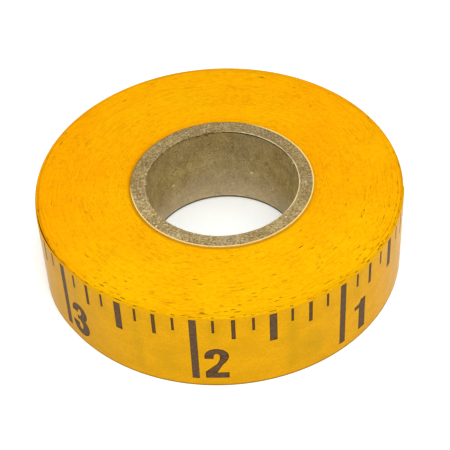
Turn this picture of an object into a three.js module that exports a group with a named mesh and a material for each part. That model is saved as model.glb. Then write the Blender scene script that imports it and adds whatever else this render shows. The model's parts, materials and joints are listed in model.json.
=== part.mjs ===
// A roll of adhesive ruler tape on a spiral-wound paper core.
//
// Millimetres, +Z up. The roll lies on its side with its axis along Z. The origin is on the
// bottom face, at the centre of the circle that the last turn of tape makes.
//
// The tape is one long strip wound clockwise as seen from above, so a place on it is given by
// its length from the free end. Angles are measured round +Z from the -Y direction towards +X.

import * as THREE from 'three';

// ---- Driving dimensions -------------------------------------------------------------------

const inch = 25.4;

const rollRadius = 31.2;       // outer face of the tape at its free end
const tapeWidth = 15.85;       // 5/8 in tape; the core is cut to the same length
const tapeThickness = 0.15;    // printed paper with its adhesive
const freeEndAngle = 83.4;     // degrees
const freeLength = inch;       // the last stretch of tape, which a finger can peel off the roll
const linkCount = 8;           // rigid links that stand in for that stretch
const stepLength = inch / 16;  // length of one facet of the outer turn

const boreRadius = 13.02;      // 26 mm bore
const coreWall = 2.53;
const plyNames = ['core_inner_ply', 'core_second_ply', 'core_middle_ply', 'core_fourth_ply',
  'core_outer_ply'];
const coreCentre = new THREE.Vector2(0.55, 0.07); // the pack is wound slightly off centre
const packFacets = 96;         // facets of the hole that the core fills

const seamLean = 45;           // degrees, how far a ply's butt seam leans from the core's axis
const seamWidth = 0.2;         // measured round the core
const seamAngle = 152;         // degrees, the innermost ply's seam at mid height
const seamStagger = 137;       // degrees from one ply's seam to the next ply's
const plyTip = 0.3;            // height left at a ply's two sharp corners
const plyFacets = 120;

const glueLine = 0.04;         // gap between faces that glue holds together

// ---- Values that follow from them ---------------------------------------------------------

const turnLength = 2 * Math.PI * rollRadius;
const linkLength = freeLength / linkCount;
const plyPitch = (coreWall + glueLine) / plyNames.length;
const plyThickness = plyPitch - glueLine;
const packBore = boreRadius + coreWall + glueLine;

// ---- Materials ----------------------------------------------------------------------------

const printedFace = { color: 0xe9a81c, roughness: 0.7, metalness: 0 };
const paperEdges = { color: 0xfdb605, roughness: 0.8, metalness: 0 };
const coreBoard = { color: 0xa08a64, roughness: 0.9, metalness: 0 };

// ---- Geometry helpers ---------------------------------------------------------------------

// A point at an angle (in radians) round the axis, at a radius from it.
const polar = (angle, radius) =>
  new THREE.Vector2(radius * Math.sin(angle), -radius * Math.cos(angle));

function circle(radius, facets, centre) {
  return Array.from({ length: facets }, (_, i) =>
    polar((2 * Math.PI * i) / facets, radius).add(centre));
}

function upright(shape, height) {
  return new THREE.ExtrudeGeometry(shape, { depth: height, bevelEnabled: false });
}

function meshOf(name, geometry, finish) {
  const mesh = new THREE.Mesh(geometry, new THREE.MeshStandardMaterial(finish));
  mesh.name = name;
  return mesh;
}

// ---- The tape's spiral --------------------------------------------------------------------

// The strip's outer face lies one thickness further in after every turn.
const angleAt = (length) =>
  THREE.MathUtils.degToRad(freeEndAngle) - (2 * Math.PI * length) / turnLength;
const outerRadiusAt = (length) => rollRadius - (tapeThickness * length) / turnLength;

// Points along the spiral between two lengths from the free end, a depth under its outer face.
function spiral(from, to, depth) {
  const steps = Math.max(1, Math.ceil((to - from) / stepLength - 1e-6));
  return Array.from({ length: steps + 1 }, (_, i) => {
    const length = Math.min(from + i * stepLength, to);
    return polar(angleAt(length), outerRadiusAt(length) - depth);
  });
}

function stripShape(from, to) {
  return new THREE.Shape([
    ...spiral(from, to, 0),
    ...spiral(from, to, tapeThickness).reverse(),
  ]);
}

// ---- Sub-parts ----------------------------------------------------------------------------

// One ply of the core: a strip of board, cut off at both ends of the core and rolled up. Laid
// flat it is a parallelogram, and its two slanting edges meet at the ply's helical seam.
function corePly(index) {
  const middle = boreRadius + index * plyPitch + plyThickness / 2;
  const lean = Math.tan(THREE.MathUtils.degToRad(seamLean));
  const slant = (tapeWidth - plyTip) * lean;
  const bottomEdge = 2 * Math.PI * middle - plyTip * lean - seamWidth;
  const start = THREE.MathUtils.degToRad(seamAngle + index * seamStagger)
    - slant / 2 / middle;

  const board = new THREE.BoxGeometry(1, 1, 1, plyFacets, 1, 1);
  const corner = board.attributes.position;
  for (let i = 0; i < corner.count; i += 1) {
    const along = (corner.getX(i) + 0.5) * (bottomEdge + slant);
    const radius = middle - corner.getY(i) * plyThickness;
    const height = corner.getZ(i) < 0
      ? Math.max(0, (along - bottomEdge) / lean)
      : Math.min(tapeWidth, plyTip + along / lean);
    const place = polar(start + along / middle, radius);
    corner.setXYZ(i, place.x, place.y, height);
  }
  return board;
}

// All the turns under the outermost one, bonded into a solid pack by the tape's own adhesive.
function windingPack() {
  const outline = new THREE.Shape(spiral(0, turnLength, tapeThickness + glueLine));
  outline.holes.push(new THREE.Path(circle(packBore, packFacets, coreCentre)));
  return upright(outline, tapeWidth);
}

// A stretch of the outermost turn, short of its neighbours by half a glue line at each end.
function outerStretch(from, to) {
  return upright(stripShape(from + glueLine / 2, to - glueLine / 2), tapeWidth);
}

// ---- Assembly -----------------------------------------------------------------------------

const roll = new THREE.Group();

const core = new THREE.Group();
core.position.set(coreCentre.x, coreCentre.y, 0);
plyNames.forEach((name, index) => core.add(meshOf(name, corePly(index), coreBoard)));
roll.add(core);

roll.add(meshOf('tape_winding', windingPack(), paperEdges));
roll.add(meshOf('tape_outer_turn', outerStretch(freeLength, turnLength), printedFace));

// Link 1 is next to the outer turn, and the last link carries the free end.
for (let link = 1; link <= linkCount; link += 1) {
  const near = freeLength - (link - 1) * linkLength;
  const stretch = outerStretch(near - linkLength, near);
  roll.add(meshOf(`tape_end_link_${link}`, stretch, printedFace));
}

export default roll;
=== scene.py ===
"""Looks for the roll of adhesive ruler tape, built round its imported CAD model.

Sizes are in millimetres until a mesh is made, and MM turns them into metres. Angles are measured
round +Z from the -Y direction towards +X. A place on the tape is given by its length from the free
end and its height above the bottom face, because the tape is one strip wound clockwise as seen
from above.
"""

import json
import math

import bpy
import numpy as np
from mathutils import Matrix, Vector
from mathutils.geometry import delaunay_2d_cdt


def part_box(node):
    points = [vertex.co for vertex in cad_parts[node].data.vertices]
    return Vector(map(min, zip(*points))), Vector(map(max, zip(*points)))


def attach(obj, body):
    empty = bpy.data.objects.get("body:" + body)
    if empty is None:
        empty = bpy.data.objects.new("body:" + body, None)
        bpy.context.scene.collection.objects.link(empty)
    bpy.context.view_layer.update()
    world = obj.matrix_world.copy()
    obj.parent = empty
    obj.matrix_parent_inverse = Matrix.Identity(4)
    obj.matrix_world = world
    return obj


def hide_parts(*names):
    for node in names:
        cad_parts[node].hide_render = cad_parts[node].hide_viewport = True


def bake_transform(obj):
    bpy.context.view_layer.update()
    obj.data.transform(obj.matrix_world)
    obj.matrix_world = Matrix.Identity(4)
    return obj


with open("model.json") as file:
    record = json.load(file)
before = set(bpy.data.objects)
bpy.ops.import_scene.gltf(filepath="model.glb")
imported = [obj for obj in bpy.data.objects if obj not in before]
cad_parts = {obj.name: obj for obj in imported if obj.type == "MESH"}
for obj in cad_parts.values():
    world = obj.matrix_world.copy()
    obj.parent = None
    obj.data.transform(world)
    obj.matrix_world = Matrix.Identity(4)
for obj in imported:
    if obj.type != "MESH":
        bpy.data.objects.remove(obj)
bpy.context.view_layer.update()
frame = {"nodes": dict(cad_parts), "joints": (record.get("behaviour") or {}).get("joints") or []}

MM = 0.001
INCH = 25.4
PACK_SEED, DASH_SEED, PLY_SEED, FIBRE_SEED = 11, 5, 40, 77

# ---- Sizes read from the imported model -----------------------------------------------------

JOINTS = sorted(frame["joints"], key=lambda joint: joint["name"])
LINKS = len(JOINTS)
LINK = INCH / LINKS


def angle_of(point):
    return math.atan2(point[0], -point[1])


def node_points(node):
    mesh = frame["nodes"][node].data
    points = np.empty(len(mesh.vertices) * 3)
    mesh.vertices.foreach_get("co", points)
    return points.reshape(-1, 3) / MM


# The strip's pieces are cut at equal steps, so the hinges give its radius and its free end.
HINGE_ANGLES = [angle_of(joint["pos_m"]) for joint in JOINTS]
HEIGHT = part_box("tape_winding")[1].z / MM
ROLL_RADIUS = (LINKS - 1) * LINK / (HINGE_ANGLES[-1] - HINGE_ANGLES[0])
TURN = 2 * math.pi * ROLL_RADIUS
FREE_ANGLE = HINGE_ANGLES[0] + INCH / ROLL_RADIUS
TAPE = 0.15                      # thickness of the tape, and how far in each turn moves it

PLIES = ["core_inner_ply", "core_second_ply", "core_middle_ply", "core_fourth_ply",
         "core_outer_ply"]
CORE_X = (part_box("core_inner_ply")[0].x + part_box("core_inner_ply")[1].x) / 2 / MM
CORE_Y = (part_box("core_inner_ply")[0].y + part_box("core_inner_ply")[1].y) / 2 / MM


def ply_radii(node):
    points = node_points(node)
    radii = np.hypot(points[:, 0] - CORE_X, points[:, 1] - CORE_Y)
    return radii.min(), radii.max()


CORE_RADIUS = ply_radii("core_outer_ply")[1]

# ---- Small helpers ------------------------------------------------------------------------


def linear(red, green, blue):
    """A colour given as the screen shows it, 0 to 255, as the linear colour that shaders take."""
    shares = [level / 255 for level in (red, green, blue)]
    return tuple(s / 12.92 if s <= 0.04045 else ((s + 0.055) / 1.055) ** 2.4 for s in shares)


def smooth(values, low, high):
    """0 up to low and 1 from high on, with no corner in between."""
    share = np.clip((np.asarray(values, float) - low) / (high - low), 0, 1)
    return share * share * (3 - 2 * share)


def window(values, low, high, ramp):
    return smooth(values, low - ramp, low + ramp) - smooth(values, high - ramp, high + ramp)


def wander(rng, count, step):
    """A smooth random line through count samples, with a new random value every step samples."""
    knots = rng.uniform(-1, 1, int(count / step) + 3)
    place = np.arange(count) / step
    low = place.astype(int)
    share = smooth(place - low, 0, 1)
    return knots[low] * (1 - share) + knots[low + 1] * share


def polar(angle, radius, x=0.0, y=0.0):
    return x + radius * np.sin(angle), y - radius * np.cos(angle)


def apart(angle, other):
    """The angle between two directions, 0 to pi."""
    return np.abs((angle - other + math.pi) % (2 * math.pi) - math.pi)


# ---- Mesh helpers -------------------------------------------------------------------------

SHARP = math.radians(38)         # edges that turn by more than this stay crisp


def piece(name, points, faces, materials, indices=None, attributes=None):
    """A new mesh object from points in millimetres."""
    mesh = bpy.data.meshes.new(name)
    mesh.from_pydata((np.asarray(points, float) * MM).tolist(), [], faces)
    for material in materials:
        mesh.materials.append(material)
    if indices is not None:
        mesh.polygons.foreach_set("material_index", indices)
    for key, values in (attributes or {}).items():
        values = np.asarray(values, np.float32)
        kind = "FLOAT_VECTOR" if values.ndim == 2 else "FLOAT"
        field = "vector" if values.ndim == 2 else "value"
        mesh.attributes.new(key, kind, "POINT").data.foreach_set(field, values.ravel())
    mesh.shade_smooth()
    mesh.set_sharp_from_angle(angle=SHARP)
    mesh.update()
    obj = bpy.data.objects.new(name, mesh)
    bpy.context.scene.collection.objects.link(obj)
    return obj


def thicken(faces, count):
    """Faces of a closed body: a sheet's front, the same sheet as its back, and the walls between.
    The back's points follow the front's, of which there are count, in the same order."""
    used = {(a, b) for face in faces for a, b in zip(face, face[1:] + face[:1])}
    back = [tuple(corner + count for corner in reversed(face)) for face in faces]
    walls = [(b, a, a + count, b + count) for a, b in sorted(used) if (b, a) not in used]
    return faces + back + walls


# ---- The printed scale, drawn flat --------------------------------------------------------

MARK_TOP = HEIGHT - 0.25         # the marks hang from here
EIGHTHS = 8
MARK_LENGTHS = {1: 13.93, 2: 6.16, 4: 4.47, 8: 2.87}     # by the fraction of an inch they mark
MARK_WIDTHS = {1: 1.2, 2: 1.25, 4: 0.65, 8: 0.44}
NUMERAL_HEIGHT = 7.1
NUMERAL_BOTTOM = 1.88
NUMERAL_WIDTH = 0.56             # the rest of the numerals' sizes are shares of their height
NUMERAL_GAP = 0.07
STROKE = 0.205
FLAT_STROKE = 0.165
LINE_TO_NUMERAL = 1.45           # from the middle of an inch's line, in millimetres
PAIR_WIDTH = 0.62                # numerals of two digits are narrower and lower
PAIR_HEIGHT = 0.8
BOWL_STEPS = 26


def fraction_at(eighth):
    """1 for an inch's line, 2 for a half's, 4 for a quarter's and 8 for an eighth's."""
    return EIGHTHS // math.gcd(eighth, EIGHTHS)


def bar(left, low, right, high):
    return [(left, low), (right, low), (right, high), (left, high)]


def bowl(x, z, wide, tall, start, end, stroke=STROKE):
    """A round stroke between two angles, in degrees from the right, anticlockwise."""
    turns = [math.radians(start + (end - start) * i / BOWL_STEPS) for i in range(BOWL_STEPS + 1)]
    thin = stroke * FLAT_STROKE / STROKE
    outer = [(x + wide * math.cos(a), z + tall * math.sin(a)) for a in turns]
    inner = [(x + (wide - stroke) * math.cos(a), z + (tall - thin) * math.sin(a))
             for a in reversed(turns)]
    return outer + inner


def half_turned(shapes):
    return [[(NUMERAL_WIDTH - x, 1 - z) for x, z in shape] for shape in shapes]


def numeral_shapes():
    """The ten numerals as closed outlines in a box one unit tall."""
    six = [bowl(0.28, 0.32, 0.28, 0.32, 0, 360), bowl(0.3, 0.66, 0.3, 0.34, 20, 180),
           bar(0.0, 0.32, STROKE, 0.66), bar(0.38, 0.7, 0.56, 0.78)]
    return {
        "0": [bowl(0.28, 0.5, 0.28, 0.5, 0, 360)],
        "1": [[(0.33, 0), (0.55, 0), (0.55, 1), (0.38, 1), (0.355, 0.925), (0.3, 0.88),
               (0.175, 0.865), (0.175, 0.75), (0.33, 0.75)]],
        "2": [bowl(0.29, 0.745, 0.275, 0.255, -32, 180), bar(0.015, 0.66, 0.22, 0.75),
              [(0.36, 0.745), (0.565, 0.745), (0.555, 0.67), (0.523, 0.6), (0.48, 0.53),
               (0.42, 0.455), (0.285, 0.185), (0.02, 0), (0.02, 0.21), (0.29, 0.49),
               (0.33, 0.57), (0.355, 0.66)],
              bar(0.02, 0, 0.555, 0.19)],
        "3": [bowl(0.28, 0.725, 0.265, 0.265, -88, 180), bar(0.015, 0.67, 0.22, 0.73),
              bowl(0.28, 0.275, 0.295, 0.31, -180, 88, 0.23), bar(-0.015, 0.265, 0.215, 0.325),
              bar(0.18, 0.445, 0.33, 0.585)],
        "4": [bar(0.31, 0, 0.51, 1), bar(0, 0.19, NUMERAL_WIDTH, 0.36),
              [(0, 0.34), (0.2, 0.34), (0.32, 0.66), (0.32, 1), (0.28, 1)]],
        "5": [bar(0.08, 0.83, 0.52, 1), [(0.05, 0.45), (0.25, 0.49), (0.28, 0.9), (0.09, 0.95)],
              bowl(0.27, 0.33, 0.29, 0.33, -175, 135)],
        "6": six,
        "7": [bar(0, 0.83, NUMERAL_WIDTH, 1), [(0.56, 0.86), (0.32, 0), (0.1, 0), (0.35, 0.84)]],
        "8": [bowl(0.28, 0.74, 0.26, 0.26, 0, 360), bowl(0.28, 0.29, 0.28, 0.29, 0, 360)],
        "9": half_turned(six),
    }


NUMERALS = numeral_shapes()


def scale_shapes(low, high):
    """Every mark and numeral that touches a stretch of the tape, as outlines on the flat strip."""
    shapes = []
    for eighth in range(max(1, int(low / LINK) - 1), int(high / LINK) + 3):
        kind = fraction_at(eighth)
        half = MARK_WIDTHS[kind] / 2
        shapes.append(bar(eighth * LINK - half, MARK_TOP - MARK_LENGTHS[kind],
                          eighth * LINK + half, MARK_TOP))
    for number in range(1, int(high / INCH) + 3):
        pair = number > 9
        wide = NUMERAL_HEIGHT * (PAIR_WIDTH if pair else 1)
        tall = NUMERAL_HEIGHT * (PAIR_HEIGHT if pair else 1)
        for place, digit in enumerate(str(number)):
            edge = number * INCH - LINE_TO_NUMERAL - place * (NUMERAL_WIDTH + NUMERAL_GAP) * wide
            shapes += [[(edge - x * wide, NUMERAL_BOTTOM + z * tall) for x, z in shape]
                       for shape in NUMERALS[digit]]
    return [np.array(shape) for shape in shapes
            if max(x for x, z in shape) > low and min(x for x, z in shape) < high]


def inside(points, shape):
    """Which points lie within one closed outline."""
    crossings = np.zeros(len(points), int)
    for (x0, z0), (x1, z1) in zip(shape, np.roll(shape, -1, axis=0)):
        if z0 == z1:
            continue
        spans = (points[:, 1] >= min(z0, z1)) & (points[:, 1] < max(z0, z1))
        reach = x0 + (points[:, 1] - z0) * (x1 - x0) / (z1 - z0)
        crossings += spans & (points[:, 0] < reach)
    return crossings % 2 == 1


def inside_any(points, shapes):
    found = np.zeros(len(points), bool)
    for shape in shapes:
        near = ((points >= shape.min(0)) & (points <= shape.max(0))).all(1)
        if near.any():
            found[near] |= inside(points[near], shape)
    return found


BORDER_SAMPLES = 8               # along each straight side of an outline


def ink_depth(points, shapes):
    """How far inside the ink each point lies, and 0 for a point outside it."""
    border = [np.empty((0, 2))]
    for shape in shapes:
        ends = np.roll(shape, -1, axis=0)
        steps = np.linspace(0, 1, BORDER_SAMPLES, endpoint=False)[:, None, None]
        samples = (shape * (1 - steps) + ends * steps).reshape(-1, 2)
        others = [other for other in shapes if other is not shape]
        border.append(samples[~inside_any(samples, others)])
    border = np.concatenate(border)
    depth = np.zeros(len(points))
    for i in np.flatnonzero(inside_any(points, shapes)):
        depth[i] = np.sqrt(((border - points[i]) ** 2).sum(1).min())
    return depth


GHOST_SHIFT = 2.3                # the turn below is a little short of the outer one
GHOST_BLUR = 1.1                 # how far the print of the turn below spreads as it shows through
BLUR_RINGS = (0.35, 0.7, 1.0)    # shares of that distance at which the print is looked up
BLUR_SPOKES = 10


def ghost(points):
    """How much of the print on the turn below shows through at each point."""
    below = points + [TURN - GHOST_SHIFT, 0]
    shapes = scale_shapes(below[:, 0].min() - 1, below[:, 0].max() + 1)
    total = np.zeros(len(points))
    offsets = [(0, 0)]
    for ring in BLUR_RINGS:
        offsets += [(ring * math.cos(a), ring * math.sin(a))
                    for a in np.linspace(0, 2 * math.pi, BLUR_SPOKES, endpoint=False)]
    for offset in offsets:
        total += inside_any(below + np.array(offset) * GHOST_BLUR, shapes)
    return total / len(offsets)


# ---- The printed strip --------------------------------------------------------------------

CELL = INCH / 48                 # length of the strip's mesh cells
ROWS = 26                        # points across the strip's width
MEETING = 1e-5                   # outlines closer than this share their points
LOOSE_ANGLE = math.radians(-69)  # the outer turn stands a little off the pack round here
LOOSE_SPAN = math.radians(17)
LOOSE_GAP = 0.2


def strip_angle(length):
    return FREE_ANGLE - np.asarray(length) / ROLL_RADIUS


def looseness(angle):
    return LOOSE_GAP * (1 - smooth(apart(angle, LOOSE_ANGLE), 0, LOOSE_SPAN))


def strip_points(flat, depth):
    """Where points of the flat strip lie on the roll, a depth under its printed face."""
    angle = strip_angle(flat[:, 0])
    first_turn = flat[:, 0] < TURN
    radius = ROLL_RADIUS - TAPE * flat[:, 0] / TURN - depth + looseness(angle) * first_turn
    x, y = polar(angle, radius)
    return np.stack([x, y, flat[:, 1]], 1)


def flat_cells(low, high, shapes):
    """Triangles that cover a stretch of the flat strip and follow the outlines of its print."""
    columns = np.linspace(low, high, round((high - low) / CELL) + 1)
    heights = np.linspace(0, HEIGHT, ROWS)
    points = [Vector((x, z)) for x in columns for z in heights]
    last = (len(columns) - 1) * ROWS
    edges = [(0, last), (last, last + ROWS - 1), (ROWS - 1, last + ROWS - 1), (0, ROWS - 1)]
    edges += [(i * ROWS, (i + 1) * ROWS) for i in range(len(columns) - 1)]
    for shape in shapes:
        start = len(points)
        points += [Vector(point) for point in shape.tolist()]
        edges += [(start + i, start + (i + 1) % len(shape)) for i in range(len(shape))]
    made, _, faces, _, _, _ = delaunay_2d_cdt(points, edges, [], 0, MEETING)
    flat = np.array([tuple(point) for point in made])
    kept = []
    for face in faces:
        centre = flat[face].mean(0)
        if low < centre[0] < high and 0 < centre[1] < HEIGHT:
            kept.append(tuple(face))
    return flat, kept


def join_cells(parts):
    """One sheet from stretches that share their end columns."""
    index, flat, faces = {}, [], []
    for points, cells in parts:
        keys = [tuple(key) for key in np.round(points, 4).tolist()]
        places = []
        for key, point in zip(keys, points):
            if key not in index:
                index[key] = len(flat)
                flat.append(point)
            places.append(index[key])
        faces += [tuple(places[corner] for corner in cell) for cell in cells]
    faces = [face for face in faces if len(set(face)) == 3]
    used = sorted({corner for face in faces for corner in face})
    renumber = {old: new for new, old in enumerate(used)}
    return np.array(flat)[used], [tuple(renumber[c] for c in face) for face in faces]


LOOK_PAPER, LOOK_INK, LOOK_BACK, LOOK_EDGE = range(4)     # the strip's materials, in order


def printed_strip(name, low, high, looks):
    """A stretch of the outer tape as a closed body, printed on its outer face."""
    # It is meshed inch by inch, cut just past each numeral's line, which keeps the meshing quick.
    cuts = [n * INCH + LINK / 2 for n in range(1, int(high / INCH) + 1)]
    cuts = [low] + [cut for cut in cuts if low < cut < high] + [high]
    parts = [flat_cells(a, b, scale_shapes(a, b)) for a, b in zip(cuts, cuts[1:])]
    flat, cells = join_cells(parts)
    shapes = scale_shapes(low, high)
    # The strip's length runs clockwise, so a face turns outwards when its corners do too.
    fronts = [cell[::-1] if turns_left(flat[list(cell)]) else cell for cell in cells]
    faces = thicken(fronts, len(flat))
    points = np.concatenate([strip_points(flat, 0), strip_points(flat, TAPE)])
    centres = np.array([flat[list(cell)].mean(0) for cell in fronts])
    inked = inside_any(centres, shapes)
    indices = [LOOK_INK if ink else LOOK_PAPER for ink in inked] + [LOOK_BACK] * len(fronts)
    indices += [LOOK_EDGE] * (len(faces) - len(indices))
    both = np.concatenate([flat, flat])
    place = np.concatenate([both, np.zeros((len(both), 1))], 1)
    through = ghost(flat)
    depth = ink_depth(flat, shapes)
    return piece(name, points, faces, looks, indices, {
        "flat": place,
        "ghost": np.concatenate([through, through]),
        "ink_depth": np.concatenate([depth, depth]),
    })


def turns_left(corners):
    """Whether three corners on the flat strip turn anticlockwise."""
    (ax, az), (bx, bz), (cx, cz) = corners
    return (bx - ax) * (cz - az) - (bz - az) * (cx - ax) > 0


# ---- The wound pack -----------------------------------------------------------------------

COLUMNS = 192                    # round one turn
UNDER_END = INCH * 1.25          # printed tape that lies under the free end
PACK_GAP = 0.02                  # between the pack and the printed turn round it
CORE_GAP = 0.03                  # between the pack and the core
RELIEF = 0.028                   # about how far turns' edges sink below the pack's face
RELIEF_WAVES = 5                 # uneven places round one turn
GROOVE = 0.018                   # the narrow step between one turn's edge and the next
INNER_DROP = 0.16                # the innermost turns sit lower than the core
INNER_DROP_TURNS = 8


def winding_mesh():
    """The turns under the outermost one, as one spiral whose edges stand at uneven heights.
    Each point is marked with its length along the tape, its turn and its turns from the core."""
    rng = np.random.default_rng(PACK_SEED)
    start = TURN + UNDER_END
    radius = ROLL_RADIUS - TAPE * start / TURN - PACK_GAP
    turns = int((radius - CORE_RADIUS) / TAPE)
    count = turns * COLUMNS
    step = np.arange(count + COLUMNS + 1)
    angle = strip_angle(start) - step * 2 * math.pi / COLUMNS
    share = np.clip(step / (count + COLUMNS), 0, 1)
    outer_x, outer_y = polar(angle, radius)
    inner_x, inner_y = polar(angle, CORE_RADIUS + CORE_GAP, CORE_X, CORE_Y)
    x = outer_x * (1 - share) + inner_x * share
    y = outer_y * (1 - share) + inner_y * share
    relief = RELIEF * wander(rng, count + COLUMNS + 1, COLUMNS / RELIEF_WAVES)
    relief += RELIEF * np.repeat(rng.uniform(-1, 1, turns + 2), COLUMNS)[:len(step)] * 0.5
    drop = INNER_DROP * smooth(step / COLUMNS, turns - INNER_DROP_TURNS, turns)
    top = HEIGHT + np.minimum(relief, 0) - drop
    here = slice(0, count + 1)
    ahead = slice(COLUMNS, COLUMNS + count + 1)
    near = 1 - GROOVE / TAPE
    edge_x = x[here] * (1 - near) + x[ahead] * near
    edge_y = y[here] * (1 - near) + y[ahead] * near
    last = step[here] > count - COLUMNS
    edge_x[last], edge_y[last] = inner_x[here][last], inner_y[here][last]
    outer_rim = np.stack([x[here], y[here], top[here]], 1)
    inner_rim = np.stack([edge_x, edge_y, top[here]], 1)
    points = np.concatenate([outer_rim, inner_rim])
    inner = count + 1
    faces = []
    for i in range(count):
        faces.append((i, i + 1, inner + i + 1, inner + i))
    for i in range(count - COLUMNS):
        faces.append((inner + i, inner + i + 1, i + COLUMNS + 1, i + COLUMNS))
    faces = [face[::-1] for face in faces] if winds_right(points, faces[0]) else faces
    bottom = points.copy()
    bottom[:, 2] = np.maximum(HEIGHT - points[:, 2], 0)
    closed = thicken(faces, len(points))
    along = step[here] * TURN / COLUMNS
    turn = step[here] // COLUMNS
    place = np.stack([along, turn, (count - step[here]) / COLUMNS], 1)
    return np.concatenate([points, bottom]), closed, np.concatenate([place] * 4)


def winds_right(points, face):
    """Whether a face's corners turn clockwise, seen from above."""
    a, b, c = (points[corner] for corner in face[:3])
    return np.cross(b - a, c - b)[2] < 0


# ---- Dark ends of the print on the edges of the turns -------------------------------------

DASH_TALL = 0.012                # how far a dash stands above the paper
DASH_DEEP = 0.05
FRONT_ANGLE = math.radians(15)   # dashes show most on this side of the roll
FRONT_SPAN = math.radians(85)
FIRST_DASH_DEPTH = (0.38, 0.5)   # from the roll's face, for the dash behind each mark
FIRST_DASH_WIDTH = (0.13, 0.17)
FIRST_DASH_MORE = 0.1            # how far that dash passes its mark at each end
DASH_HALF_LENGTH = (0.22, 0.58)  # the scattered dashes
DASH_WIDTH = (0.07, 0.13)
DASH_CHANCE = 0.26               # at the roll's face
DASH_FADE = 2.4                  # the chance falls off over this depth
STRAY_CHANCE = 0.006
BARE_LAYERS = 10                 # no dashes this close to the core
DASH_STEPS = 4                   # along one dash
DASH_TAPER = 0.55


def sliver(points, faces, angle, half_length, radius, width, x, y, top):
    """Adds a thin curved box that lies along one turn's edge."""
    steps = DASH_STEPS
    start = len(points)
    for i in range(steps + 1):
        here = angle + half_length / radius * (2 * i / steps - 1)
        taper = 1 - DASH_TAPER * abs(2 * i / steps - 1) ** 2
        for side, level in ((0.5, DASH_TALL), (-0.5, DASH_TALL), (-0.5, -DASH_DEEP),
                            (0.5, -DASH_DEEP)):
            px, py = polar(here, radius + side * width * taper, x, y)
            points.append((px, py, top + level))
    for i in range(steps):
        a, b = start + 4 * i, start + 4 * i + 4
        for j in range(4):
            k = (j + 1) % 4
            faces.append((a + j, b + j, b + k, a + k))
    faces.append((start, start + 1, start + 2, start + 3))
    faces.append(tuple(start + 4 * steps + j for j in (3, 2, 1, 0)))


def edge_dashes():
    """Slivers of ink that the marks leave on the slit edges of the tape."""
    rng = np.random.default_rng(DASH_SEED)
    points, faces = [], []
    # One on the pack's edge behind each mark of the outer turn.
    for eighth in range(1, int(TURN / LINK)):
        angle = float(strip_angle(eighth * LINK))
        half = MARK_WIDTHS[fraction_at(eighth)] / 2 * rng.uniform(0.9, 1.1) + FIRST_DASH_MORE
        depth = rng.uniform(*FIRST_DASH_DEPTH)
        width = rng.uniform(*FIRST_DASH_WIDTH)
        if apart(angle, FRONT_ANGLE) < FRONT_SPAN:
            sliver(points, faces, angle, half, ROLL_RADIUS - depth, width, 0, 0, HEIGHT)
    # Scattered ones on the turns below, fewer and fewer towards the core.
    layers = int((ROLL_RADIUS - CORE_RADIUS) / TAPE) - BARE_LAYERS
    for layer in range(3, layers):
        depth = layer * TAPE
        chance = DASH_CHANCE * math.exp(-depth / DASH_FADE) + STRAY_CHANCE
        for eighth in range(int(TURN / LINK)):
            angle = float(strip_angle((eighth + rng.uniform(-0.5, 0.5)) * LINK + layer * TURN))
            here = chance * (1.08 - smooth(apart(angle, FRONT_ANGLE), 0.5, 1.7))
            half = rng.uniform(*DASH_HALF_LENGTH)
            width = rng.uniform(*DASH_WIDTH)
            if rng.uniform() < here:
                share = depth / (ROLL_RADIUS - CORE_RADIUS)
                sliver(points, faces, angle, half, ROLL_RADIUS - depth, width,
                       CORE_X * share, CORE_Y * share, HEIGHT)
    return points, faces


# ---- The core -----------------------------------------------------------------------------

SEAM_LEAN = 1.0                  # the tangent of 45 degrees
SEAM_WIDTH = 0.07
SEAM_ANGLE = math.radians(152)   # the innermost ply's seam at mid height
SEAM_STAGGER = math.radians(137)
SEAM_TIP = 0.3                   # height at which a seam starts
PLY_COLUMNS = 420
FRAY = 0.04                      # how uneven the sawn rims are
GLUE_GAP = 0.012                 # left between neighbouring plies
LIP = 0.05                       # the core's outer edge stands a little proud
UNDERCUT = 0.08                  # the bore's wall falls back under its rim
LIFTS = [0.1, 0.05, 0, 0, 0]     # the inner plies stop short of the surface below
TORN_ANGLE = math.radians(-150)  # the bore's upper edge is torn round here
TORN_DROP = 0.85
SHADE_BAND = 0.4                     # height of the painted shade band under the bore's upper edge
LUMP = 0.02                      # how uneven the bore's wall is
WORN_ANGLE = math.radians(125)   # the bore's upper edge is rubbed pale on this side
SLEEVE_ANGLE = math.radians(35)  # the pale sleeve shows on this side of the core

# Rows of a ply's points, as shares of its height. The bore's are close together near its ends.
RIM_ROWS = [0, 0.012, 0.5, 0.988, 1]
BORE_ROWS = [0, 0.02, 0.027, 0.038, 0.046]
BORE_ROWS += [i / 20 for i in range(2, 20)]
BORE_ROWS += [0.965, 0.97, 0.978, 0.985, 0.994, 1]


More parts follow.
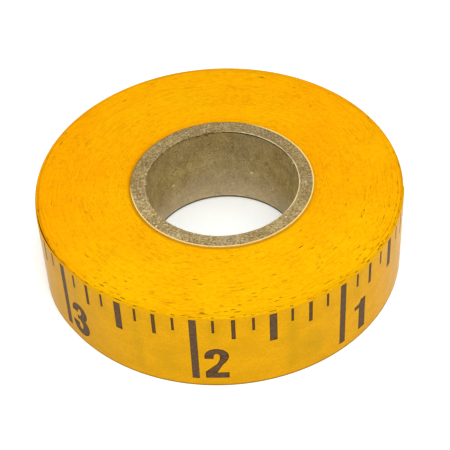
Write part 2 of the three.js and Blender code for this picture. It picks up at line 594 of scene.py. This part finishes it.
def ply_mesh(index, rows):
    """One ply of board, laid flat as a parallelogram and rolled up so that its ends meet at a
    helical seam, with uneven sawn edges. Its points are marked from 1 where it is rubbed pale to -1
    where shade is painted dark, and where the pale sleeve covers it."""
    rng = np.random.default_rng(PLY_SEED + index)
    low, high = ply_radii(PLIES[index])
    middle = (low + high) / 2
    low, high = low - GLUE_GAP * (index > 0), high + GLUE_GAP * (index < len(PLIES) - 1)
    run = 2 * math.pi * middle - SEAM_WIDTH
    start = SEAM_ANGLE + index * SEAM_STAGGER - (HEIGHT - SEAM_TIP) * SEAM_LEAN / 2 / middle
    columns = PLY_COLUMNS + 1
    along = np.linspace(0, run, columns)[:, None]
    z = np.array(rows)[None, :] * HEIGHT
    angle = start + (along + (z - SEAM_TIP) * SEAM_LEAN) / middle
    top = z == HEIGHT
    sheets, wear_and_shade, sleeve = [], [], []
    for side, radius in (("out", high), ("in", low)):
        ragged = (wander(rng, columns, 2.3) * 0.55 + wander(rng, columns, 9))[:, None] * FRAY
        heights = LIFTS[index] + z * (1 - LIFTS[index] / HEIGHT)
        heights = heights + top * (np.minimum(ragged, 0.02) - 0.02)
        radii = radius + 0 * angle
        edge = np.zeros(angle.shape)
        if index == 0 and side == "in":
            lumps = wander(rng, columns, 14)[:, None]
            radii += lumps * LUMP * np.sin(math.pi * z / HEIGHT)
            radii += UNDERCUT * window(z, HEIGHT - 0.9, HEIGHT - 0.25, 0.2)
            tear = np.maximum(wander(rng, columns, 3.1) + 0.6 * wander(rng, columns, 1.3), 0)
            torn = 1 - smooth(apart(angle, TORN_ANGLE), 0.35, 0.75)
            heights -= smooth(z, HEIGHT - 0.3, HEIGHT) * TORN_DROP * tear[:, None] * torn
            patchy = 0.8 + 0.2 * wander(rng, columns, 4)[:, None]
            rubbed = smooth(np.cos(angle - WORN_ANGLE), -0.4, 0.5)
            # painted shade: a dark band under the bore's upper edge, less where it is torn, and a
            # painted contact shadow at its foot
            painted_shade = ((z > HEIGHT - SHADE_BAND) & ~top) * (1 - 0.35 * torn) + (z < 0.35)
            lip = 0.68 * ((z > 0.4) & (z < 0.65))
            edge = (top * rubbed * (1 - torn) + lip) * patchy - painted_shade
        covered = np.zeros(angle.shape)
        if index == len(PLIES) - 1 and side == "out":
            heights += top * LIP
            behind = apart(angle, SLEEVE_ANGLE + math.pi)
            covered = smooth(behind, 0.5, 1.3)
            # painted shade along the rim's outer edge at the back left, where it meets the tape
            edge = -0.6 * top * (1 - smooth(behind, 0.9, 1.5))
        x, y = polar(angle, radii, CORE_X, CORE_Y)
        sheets.append(np.stack([x, y, heights + 0 * angle], 2).reshape(-1, 3))
        wear_and_shade.append(edge.ravel())
        sleeve.append(covered.ravel())
    across = len(rows)
    faces = []
    for i in range(PLY_COLUMNS):
        for j in range(across - 1):
            a, b = i * across + j, (i + 1) * across + j
            faces.append((a, b, b + 1, a + 1))
    marks = {"wear_and_shade": np.concatenate(wear_and_shade), "sleeve": np.concatenate(sleeve)}
    return np.concatenate(sheets), thicken(faces, columns * across), marks


HAIR_SIDES = 5
HAIR_POINTS = 9
HAIR = 0.024                     # half a hair's width
HAIRS_ON_RIM = 170
HAIRS_ON_EDGE = 34               # at the edge of the bore


def hair(points, faces, line, thick):
    """Adds a thin closed tube along a line of points."""
    sides = HAIR_SIDES
    start = len(points)
    count = len(line)
    for i, here in enumerate(line):
        ahead = line[min(i + 1, count - 1)] - line[max(i - 1, 0)]
        ahead = ahead.normalized()
        across = ahead.cross(Vector((0, 0, 1))).normalized()
        over = across.cross(ahead)
        girth = thick * (1 - 0.7 * abs(2 * i / (count - 1) - 1) ** 3)
        for side in range(sides):
            a = 2 * math.pi * side / sides
            points.append(tuple(here + (across * math.cos(a) + over * math.sin(a)) * girth))
    for i in range(count - 1):
        a, b = start + sides * i, start + sides * (i + 1)
        for j in range(sides):
            k = (j + 1) % sides
            faces.append((a + j, a + k, b + k, b + j))
    faces.append(tuple(start + j for j in range(sides - 1, -1, -1)))
    faces.append(tuple(start + sides * (count - 1) + j for j in range(sides)))


def core_fibres():
    """Curly paper fibres that lie on the core's rim and hang at the edge of its bore."""
    rng = np.random.default_rng(FIBRE_SEED)
    points, faces = [], []
    bore = ply_radii("core_inner_ply")[0]
    for number in range(HAIRS_ON_RIM + HAIRS_ON_EDGE):
        on_edge = number >= HAIRS_ON_RIM
        angle = rng.uniform(-math.pi, math.pi)
        radius = bore + 0.08 if on_edge else rng.uniform(bore + 0.3, CORE_RADIUS - 0.3)
        heading = rng.uniform(-math.pi, math.pi) if not on_edge else angle + rng.uniform(-0.5, 0.5)
        bend = rng.uniform(-0.35, 0.35)
        x, y = polar(angle, radius, CORE_X, CORE_Y)
        level = HEIGHT + 0.015
        stride = rng.uniform(0.06, 0.13)
        line = []
        for step in range(HAIR_POINTS):
            line.append(Vector((x, y, level + (0.0 if not on_edge else -0.012 * step))))
            x += stride * math.cos(heading)
            y += stride * math.sin(heading)
            heading += bend + rng.uniform(-0.5, 0.5)
            away = math.hypot(x - CORE_X, y - CORE_Y)
            if away > CORE_RADIUS - 0.1 or away < bore - 0.15:
                heading += math.pi * 0.6
        hair(points, faces, line, HAIR * rng.uniform(0.6, 1.2))
    return points, faces


# ---- Materials ----------------------------------------------------------------------------
#
# Noise scales are per metre where a material follows the object, and per millimetre where it
# follows the tape. Bump distances are in metres.


def add(tree, kind, values=None, **settings):
    """A new shader node. A value that is a socket is linked, and any other is set."""
    made = tree.nodes.new(kind)
    for key, setting in settings.items():
        setattr(made, key, setting)
    for key, value in (values or {}).items():
        if isinstance(value, bpy.types.NodeSocket):
            tree.links.new(value, made.inputs[key])
        else:
            made.inputs[key].default_value = value
    return made


def begin(name):
    """A new material, with its node tree and its shader."""
    material = bpy.data.materials.new(name)
    material.use_nodes = True
    tree = material.node_tree
    return material, tree, tree.nodes["Principled BSDF"]


def finish_look(tree, shader, colour, roughness, specular):
    """Links a material's colour and sets how it shines."""
    tree.links.new(colour, shader.inputs["Base Color"])
    shader.inputs["Roughness"].default_value = roughness
    shader.inputs["Specular IOR Level"].default_value = specular


def scaled(tree, vector, factors):
    return add(tree, "ShaderNodeVectorMath", {0: vector, 1: factors},
               operation="MULTIPLY").outputs[0]


def noise(tree, vector, scale=1.0, detail=3.0, roughness=0.55):
    values = {"Vector": vector, "Scale": scale, "Detail": detail, "Roughness": roughness}
    return add(tree, "ShaderNodeTexNoise", values).outputs["Fac"]


def remap(tree, value, low, high, to_low=0.0, to_high=1.0):
    values = {0: value, 1: low, 2: high, 3: to_low, 4: to_high}
    return add(tree, "ShaderNodeMapRange", values).outputs[0]


def maths(tree, operation, a, b=0.0):
    return add(tree, "ShaderNodeMath", {0: a, 1: b}, operation=operation).outputs[0]


def blend_colours(tree, share, a, b, mode="MIX"):
    def colour(value):
        return value if isinstance(value, bpy.types.NodeSocket) else (*value, 1.0)
    made = add(tree, "ShaderNodeMix", {0: share, 6: colour(a), 7: colour(b)}, data_type="RGBA",
               blend_type=mode)
    return made.outputs[2]


def attribute(tree, name, output):
    made = add(tree, "ShaderNodeAttribute", attribute_name=name, attribute_type="GEOMETRY")
    return made.outputs[output]


def parts_of(tree, vector):
    """A vector's X, Y and Z, by those names."""
    return add(tree, "ShaderNodeSeparateXYZ", {0: vector}).outputs


def object_place(tree):
    return add(tree, "ShaderNodeTexCoord").outputs["Object"]


def bump(tree, shader, height, distance, strength=1.0):
    values = {"Height": height, "Distance": distance, "Strength": strength}
    made = add(tree, "ShaderNodeBump", values)
    tree.links.new(made.outputs["Normal"], shader.inputs["Normal"])


def iso_lines(tree, vector, scale, width, detail=1.0):
    """1 on thin wandering lines and 0 between them."""
    field = noise(tree, vector, scale, detail, 0.5)
    away = maths(tree, "ABSOLUTE", maths(tree, "SUBTRACT", field, 0.5))
    return remap(tree, away, 0.0, width, 1.0, 0.0)


EDGE_YELLOW = linear(231, 174, 4)
EDGE_ORANGE = linear(235, 159, 3)
EDGE_SHADE = linear(196, 122, 4)
EDGE_DIRT = linear(176, 110, 4)
SHADE_SPAN = (60.0, 80.0, 92.0, 112.0)   # painted shade: the tape is darker between these lengths, as in the photo


def printed_paper():
    """The tape's outer face: dyed paper with faint mottling, where the turn below shows, with
    painted shadow along its bottom edge and painted shade on a stretch of its length.
    """
    material, tree, shader = begin("printed_paper")
    flat = attribute(tree, "flat", "Vector")
    clouds = noise(tree, scaled(tree, flat, (0.22, 0.3, 1.0)), 1.0, 4.0, 0.65)
    grain = noise(tree, scaled(tree, flat, (2.2, 2.2, 1.0)), 1.0, 4.0, 0.7)
    base = blend_colours(tree, remap(tree, clouds, 0.35, 0.65), linear(206, 149, 3),
                         linear(222, 160, 1))
    base = blend_colours(tree, remap(tree, grain, 0.4, 0.68, 0.0, 0.65), base,
                         linear(192, 132, 1))
    ghostly = attribute(tree, "ghost", "Fac")
    base = blend_colours(tree, remap(tree, ghostly, 0.0, 1.0, 0.0, 0.4), base,
                         linear(166, 130, 6))
    parts = parts_of(tree, flat)
    # painted contact shadow along the bottom edge of the tape
    base = blend_colours(tree, remap(tree, parts["Y"], 0.14, 0.36, 0.75, 0.0), base,
                         linear(104, 72, 12))
    # painted shade over that stretch, on the roll's left side
    start, full, fading, end = SHADE_SPAN
    span_shade = maths(tree, "MULTIPLY", remap(tree, parts["X"], start, full, 0.0, 0.45),
                 remap(tree, parts["X"], fading, end, 1.0, 0.0))
    base = blend_colours(tree, span_shade, base, linear(172, 127, 16))
    finish_look(tree, shader, base, 0.5, 0.025)
    shader.inputs["Sheen Weight"].default_value = 0.2
    shader.inputs["Sheen Roughness"].default_value = 0.28
    bump(tree, shader, grain, 0.00002, 0.5)
    return material


def print_ink():
    """Grey-brown ink that is darker and redder at its edges."""
    material, tree, shader = begin("print_ink")
    flat = attribute(tree, "flat", "Vector")
    wear = noise(tree, scaled(tree, flat, (1.6, 1.6, 1.0)), 1.0, 4.0, 0.65)
    depth = attribute(tree, "ink_depth", "Fac")
    body = blend_colours(tree, remap(tree, wear, 0.35, 0.7), linear(82, 61, 42),
                         linear(100, 77, 54))
    colour = blend_colours(tree, remap(tree, depth, 0.0, 0.3), linear(70, 38, 10), body)
    finish_look(tree, shader, colour, 0.45, 0.03)
    bump(tree, shader, wear, 0.00001, 0.4)
    return material


def adhesive():
    """The tape's back: the paper's colour under a thin tacky film."""
    material, tree, shader = begin("adhesive_back")
    flat = attribute(tree, "flat", "Vector")
    streaks = noise(tree, scaled(tree, flat, (0.15, 1.8, 1.0)), 1.0, 3.0)
    colour = blend_colours(tree, remap(tree, streaks, 0.3, 0.7), linear(232, 186, 74),
                           linear(240, 200, 96))
    tree.links.new(colour, shader.inputs["Base Color"])
    gloss = remap(tree, streaks, 0.3, 0.7, 0.22, 0.38)
    tree.links.new(gloss, shader.inputs["Roughness"])
    bump(tree, shader, streaks, 0.00003, 0.5)
    return material


def pack_lines(tree, flat, colour):
    """Darker lines along the outermost turns of the pack."""
    lines = noise(tree, scaled(tree, flat, (0.035, 1.7, 0.0)), 1.0, 2.0, 0.6)
    outward = remap(tree, parts_of(tree, flat)["Y"], 0.0, 9.0, 0.55, 0.0)
    lines = maths(tree, "MULTIPLY", remap(tree, lines, 0.47, 0.66), outward)
    return blend_colours(tree, lines, colour, linear(150, 92, 6))


def core_ring(tree, flat, place, colour):
    """Painted shade on the innermost turns, in their recess, which fades towards the back right."""
    around = noise(tree, scaled(tree, place, (1.0, 1.0, 0.0)), 70.0, 2.0)
    inward = maths(tree, "SUBTRACT", parts_of(tree, flat)["Z"], around)
    ring = remap(tree, inward, 0.3, 3.2, 0.8, 0.0)
    parts = parts_of(tree, place)
    back_right = maths(tree, "ADD", maths(tree, "MULTIPLY", parts["X"], 0.7), parts["Y"])
    ring = maths(tree, "MULTIPLY", ring, remap(tree, back_right, -0.008, 0.01, 1.0, 0.3))
    return blend_colours(tree, ring, colour, linear(170, 112, 8))


def slit_edges(name, wear):
    """The slit sides of the tape: bright dyed paper, with short dark streaks in clusters, yellower
    towards the front partly by painted light. The outer turn's are darkened by wear. The pack's,
    with no wear, have darker lines and a ring of painted shade."""
    material, tree, shader = begin(name)
    flat = attribute(tree, "flat", "Vector")
    place = object_place(tree)
    parts = parts_of(tree, place)
    broad = noise(tree, place, 75.0, 3.0, 0.6)
    # partly the paper's own tone, partly painted light: yellower towards the front, more orange at
    # the left
    frontward = remap(tree, parts["Y"], -0.028, 0.004, 0.3, -0.04)
    leftward = remap(tree, parts["X"], -0.029, -0.018, -0.42, 0.0)
    tone_and_light_drift = maths(tree, "ADD", frontward, leftward)
    share = remap(tree, maths(tree, "ADD", broad, tone_and_light_drift), 0.3, 0.8)
    colour = blend_colours(tree, share, EDGE_ORANGE, EDGE_YELLOW)
    clusters = remap(tree, noise(tree, place, 210.0, 2.0, 0.5), 0.42, 0.62)
    streaks = noise(tree, scaled(tree, flat, (0.42, 0.75, 0.0)), 1.0, 2.0, 0.6)
    streaks = remap(tree, streaks, 0.52, 0.68)
    colour = blend_colours(tree, maths(tree, "MULTIPLY", maths(tree, "MULTIPLY", streaks, clusters),
                                       0.65), colour, EDGE_SHADE)
    fine = noise(tree, scaled(tree, flat, (0.24, 1.3, 0.0)), 1.0, 3.0, 0.7)
    colour = blend_colours(tree, remap(tree, fine, 0.48, 0.7, 0.0, 0.45), colour, EDGE_SHADE)
    fuzz = noise(tree, place, 1500.0, 3.0, 0.65)
    colour = blend_colours(tree, remap(tree, fuzz, 0.47, 0.7, 0.0, 0.3), colour, EDGE_SHADE)
    dirt = remap(tree, noise(tree, place, 620.0, 3.0, 0.7), 0.64, 0.74, 0.0, 0.4)
    colour = blend_colours(tree, dirt, colour, EDGE_DIRT)
    if wear:
        colour = blend_colours(tree, remap(tree, fine, 0.3, 0.6, wear, wear / 2), colour,
                               linear(150, 104, 14))
    else:
        colour = pack_lines(tree, flat, colour)
        colour = core_ring(tree, flat, place, colour)
    finish_look(tree, shader, colour, 0.9, 0.0)
    bump(tree, shader, maths(tree, "ADD", fine, fuzz), 0.00003, 0.6)
    return material


def edge_ink():
    """The ends of the printed marks, on the tape's slit edges."""
    material, tree, shader = begin("edge_ink")
    place = object_place(tree)
    wear = noise(tree, place, 450.0, 2.0)
    colour = blend_colours(tree, remap(tree, wear, 0.35, 0.62), linear(92, 62, 8),
                           linear(184, 120, 6))
    finish_look(tree, shader, colour, 0.8, 0.05)
    return material


BOARD_DARK = linear(148, 125, 80)
BOARD_LIGHT = linear(184, 161, 110)
BOARD_GREY = linear(160, 144, 118)
# dark of the board's pits, and of the painted shade on the rim
BOARD_PIT_AND_SHADE = linear(104, 82, 44)
BOARD_PALE = linear(218, 200, 156)
# painted shade, on the bore and round the rim's outer edge
BOARD_SHADE = linear(66, 46, 20)
BOARD_AGE = (1.0, 1.0, 0.84)     # multiplies the board's colour on the bore's wall
SLEEVE_PALE = linear(232, 204, 124)


def board_mottle(tree, place, patches):
    """The board's broad patches of grey, olive and tan."""
    clouds = noise(tree, place, 260.0, 4.0, 0.65)
    base = blend_colours(tree, remap(tree, clouds, 0.35, 0.65), BOARD_DARK, BOARD_LIGHT)
    greyer = remap(tree, noise(tree, place, 95.0, 2.0, 0.5), 0.45, 0.65, 0.0, 0.5)
    base = blend_colours(tree, greyer, base, BOARD_GREY)
    base = blend_colours(tree, remap(tree, patches, 0.5, 0.72, 0.0, 0.45), base,
                         linear(128, 102, 56))
    return blend_colours(tree, remap(tree, patches, 0.28, 0.46, 0.45, 0.0), base,
                         linear(186, 168, 124))


def board_bits(tree, place, base, grains, fibres, on_rim):
    """Pits and flecks, strongest on the rim, with fibres, flakes, stains and dark specks."""
    contrast = remap(tree, on_rim, 0.0, 1.0, 0.35, 0.75)
    pits = maths(tree, "MULTIPLY", remap(tree, grains, 0.47, 0.62), contrast)
    base = blend_colours(tree, pits, base, BOARD_PIT_AND_SHADE)
    flecks = maths(tree, "MULTIPLY", remap(tree, grains, 0.3, 0.44, 1.0, 0.0), contrast)
    base = blend_colours(tree, flecks, base, linear(212, 194, 152))
    base = blend_colours(tree, maths(tree, "MULTIPLY", fibres, 0.5), base,
                         linear(206, 190, 146))
    flakes = remap(tree, noise(tree, place, 800.0, 1.0, 0.5), 0.78, 0.8)
    base = blend_colours(tree, flakes, base, linear(220, 204, 162))
    stains = remap(tree, noise(tree, place, 1100.0, 2.0, 0.5), 0.66, 0.72)
    base = blend_colours(tree, maths(tree, "MULTIPLY", stains, on_rim), base,
                         linear(176, 126, 62))
    specks = remap(tree, noise(tree, place, 1900.0, 2.0, 0.5), 0.67, 0.72)
    return blend_colours(tree, maths(tree, "MULTIPLY", specks, 0.8), base, linear(66, 48, 24))


def board_shading(tree, parts, base, on_rim):
    """Painted light and shade, partly the board's own tone: the rim is greyer at the back and
    right, and the bore paler at its foot and darker above.
    """
    backward = remap(tree, parts["Y"], -0.008, 0.006, 0.0, 0.34)
    shaded = maths(tree, "ADD", backward, maths(tree, "MULTIPLY", parts["X"], 10.0))
    base = blend_colours(tree, maths(tree, "MULTIPLY", on_rim, shaded), base, BOARD_PIT_AND_SHADE)
    in_bore = maths(tree, "SUBTRACT", 1.0, on_rim)
    aged = maths(tree, "MULTIPLY", remap(tree, parts["Z"], 0.002, 0.007), in_bore)
    base = blend_colours(tree, aged, base, BOARD_AGE, "MULTIPLY")
    low = remap(tree, parts["Z"], 0.0005, 0.008, 0.3, 0.0)
    base = blend_colours(tree, low, base, linear(222, 204, 172))
    high = maths(tree, "MULTIPLY", remap(tree, parts["Z"], 0.0095, 0.0145, 0.0, 0.28), in_bore)
    return blend_colours(tree, high, base, linear(92, 72, 38))


def core_board():
    """Recycled board: mottled grey, olive and tan, with pale curly fibres and dark specks, and
    painted light and shade.
    """
    material, tree, shader = begin("core_board")
    place = object_place(tree)
    parts = parts_of(tree, place)
    on_rim = remap(tree, parts["Z"], (HEIGHT - 0.2) * MM, HEIGHT * MM)
    patches = noise(tree, scaled(tree, place, (1.0, 1.0, 0.6)), 900.0, 4.0, 0.7)
    grains = noise(tree, place, 3200.0, 2.0, 0.7)
    broken = remap(tree, noise(tree, place, 1400.0, 1.0, 0.5), 0.52, 0.56)
    fibres = maths(tree, "MULTIPLY", iso_lines(tree, place, 900.0, 0.018), broken)
    base = board_mottle(tree, place, patches)
    base = board_bits(tree, place, base, grains, fibres, on_rim)
    base = board_shading(tree, parts, base, on_rim)
    wear = attribute(tree, "wear_and_shade", "Fac")
    base = blend_colours(tree, remap(tree, wear, 0.45, 0.65, 0.0, 0.85), base, BOARD_PALE)
    # painted shade where the marks are below zero
    base = blend_colours(tree, remap(tree, wear, -0.7, -0.35, 0.8, 0.0), base, BOARD_SHADE)
    sleeve = remap(tree, attribute(tree, "sleeve", "Fac"), 0.5, 0.7)
    base = blend_colours(tree, sleeve, base, SLEEVE_PALE)
    finish_look(tree, shader, base, 0.92, 0.1)
    height = maths(tree, "ADD", patches, maths(tree, "ADD", grains, fibres))
    bump(tree, shader, height, 0.00008, 0.7)
    return material


def pale_fibre():
    """Loose paper fibres."""
    material, tree, shader = begin("pale_fibre")
    place = object_place(tree)
    mottle = noise(tree, place, 800.0, 2.0)
    colour = blend_colours(tree, remap(tree, mottle, 0.3, 0.7), linear(196, 182, 144),
                           linear(226, 216, 184))
    tree.links.new(colour, shader.inputs["Base Color"])
    shader.inputs["Roughness"].default_value = 0.9
    return material


def floor_white():
    """A plain pale floor that glows a little, so that it stays near white."""
    material, tree, shader = begin("floor_white")
    place = object_place(tree)
    grain = noise(tree, place, 40.0, 2.0)
    colour = blend_colours(tree, grain, (0.89, 0.94, 0.96), (0.91, 0.96, 0.98))
    finish_look(tree, shader, colour, 1.0, 0.0)
    shader.inputs["Emission Color"].default_value = (1.0, 1.0, 1.0, 1.0)
    shader.inputs["Emission Strength"].default_value = FLOOR_GLOW
    return material


# ---- Stage --------------------------------------------------------------------------------

FLOOR_GLOW = 0.2
FLOOR_SIZE = 3000.0
FLOOR_DROP = 0.05                # below the roll's bottom face
WORLD_LIGHT = 0.84
# Each lamp's place, target and size in metres, and its power in watts.
OVERHEAD = ((0.03, -0.02, 0.5), (0, 0, 0.01), 0.4, 0.65)
KEY = ((0.02, -0.14, 0.2), (0, -0.01, 0.01), 0.1, 0.17)
FOCAL = 3.06                     # focal length as a share of the picture's width
SENSOR = 36.0
CAMERA_DISTANCE = 239.9
CAMERA_RISE = 0.7727             # radians above the horizon
CAMERA_ROLL = -0.053             # radians, as the next two
AIM_ACROSS = 0.0027
AIM_UP = -0.0023
AIM_HEIGHT = 6.35
NEAREST = 10.0                   # the camera's clipping distances
FARTHEST = 10000.0


def make_floor():
    size = FLOOR_SIZE / 2 * MM
    mesh = bpy.data.meshes.new("floor")
    corners = [(-size, -size, 0), (size, -size, 0), (size, size, 0), (-size, size, 0)]
    mesh.from_pydata(corners, [], [(0, 1, 2, 3)])
    mesh.materials.append(floor_white())
    floor = bpy.data.objects.new("floor", mesh)
    floor.location.z = -FLOOR_DROP * MM
    bpy.context.scene.collection.objects.link(floor)


def area_light(name, place, target, size, power):
    """A square lamp."""
    light = bpy.data.lights.new(name, "AREA")
    light.size = size
    light.energy = power
    obj = bpy.data.objects.new(name, light)
    obj.location = place
    aim = Vector(target) - Vector(place)
    obj.rotation_euler = aim.to_track_quat("-Z", "Y").to_euler()
    bpy.context.scene.collection.objects.link(obj)


def make_lights():
    world = bpy.data.worlds.new("studio")
    world.use_nodes = True
    background = world.node_tree.nodes["Background"]
    background.inputs["Color"].default_value = (1.0, 1.0, 1.0, 1.0)
    background.inputs["Strength"].default_value = WORLD_LIGHT
    bpy.context.scene.world = world
    area_light("overhead", *OVERHEAD)
    area_light("key", *KEY)
    bpy.context.scene.view_settings.view_transform = "Standard"


def make_camera():
    """The camera where the photograph was taken from, with its small roll."""
    back = Vector((0, -math.cos(CAMERA_RISE), math.sin(CAMERA_RISE)))
    place = Vector((0, 0, AIM_HEIGHT)) + back * CAMERA_DISTANCE
    ahead, right = -back, Vector((1, 0, 0))
    up = right.cross(ahead)
    ahead = (ahead + right * math.tan(AIM_ACROSS) + up * math.tan(AIM_UP)).normalized()
    right = ahead.cross(Vector((0, 0, 1))).normalized()
    up = right.cross(ahead)
    lean, level = math.sin(CAMERA_ROLL), math.cos(CAMERA_ROLL)
    right, up = right * level + up * lean, up * level - right * lean
    turn = Matrix((right, up, -ahead)).transposed().to_4x4()
    lens = bpy.data.cameras.new("camera")
    lens.sensor_width = SENSOR
    lens.lens = FOCAL * SENSOR
    lens.clip_start = NEAREST * MM
    lens.clip_end = FARTHEST * MM
    camera = bpy.data.objects.new("camera", lens)
    camera.matrix_world = Matrix.Translation(place * MM) @ turn
    bpy.context.scene.collection.objects.link(camera)
    bpy.context.scene.camera = camera


# ---- Assembly -----------------------------------------------------------------------------


def make_core():
    board = core_board()
    for index, name in enumerate(PLIES):
        points, faces, marks = ply_mesh(index, BORE_ROWS if index == 0 else RIM_ROWS)
        ply = piece("board_" + name, points, faces, [board], None, marks)
        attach(ply, "roll")
        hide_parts(name)
    points, faces = core_fibres()
    fibres = piece("core_fibres", points, faces, [pale_fibre()])
    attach(fibres, "roll")


def make_winding(edges):
    points, faces, place = winding_mesh()
    pack = piece("wound_pack", points, faces, [edges], None, {"flat": place})
    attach(pack, "roll")
    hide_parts("tape_winding")
    points, faces = edge_dashes()
    dashes = piece("tape_edge_ink", points, faces, [edge_ink()])
    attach(dashes, "roll")


def make_strip(edges):
    """The outer turn, and the free end in pieces that run from one link's middle to the next's.
    Each of those spans one hinge, and the last half link is a piece of its own."""
    looks = [printed_paper(), print_ink(), adhesive(), edges]
    outer = printed_strip("printed_outer_turn", INCH + LINK / 2, TURN + UNDER_END, looks)
    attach(outer, "roll")
    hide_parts("tape_outer_turn")
    bodies = ["roll"] + [joint["child"] for joint in JOINTS]
    for number in range(1, LINKS + 1):
        hinge = (LINKS + 1 - number) * LINK
        near, far = hinge + LINK / 2, hinge - LINK / 2
        part = printed_strip("printed_end_%d" % number, far, near, looks)
        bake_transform(part)
        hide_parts("tape_end_link_%d" % number)
    tip = printed_strip("printed_end_tip", 0, LINK / 2, looks)
    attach(tip, bodies[-1])


make_camera()
make_lights()
make_floor()
make_core()
make_winding(slit_edges("slit_edges", 0))
make_strip(slit_edges("outer_slit_edges", 0.4))
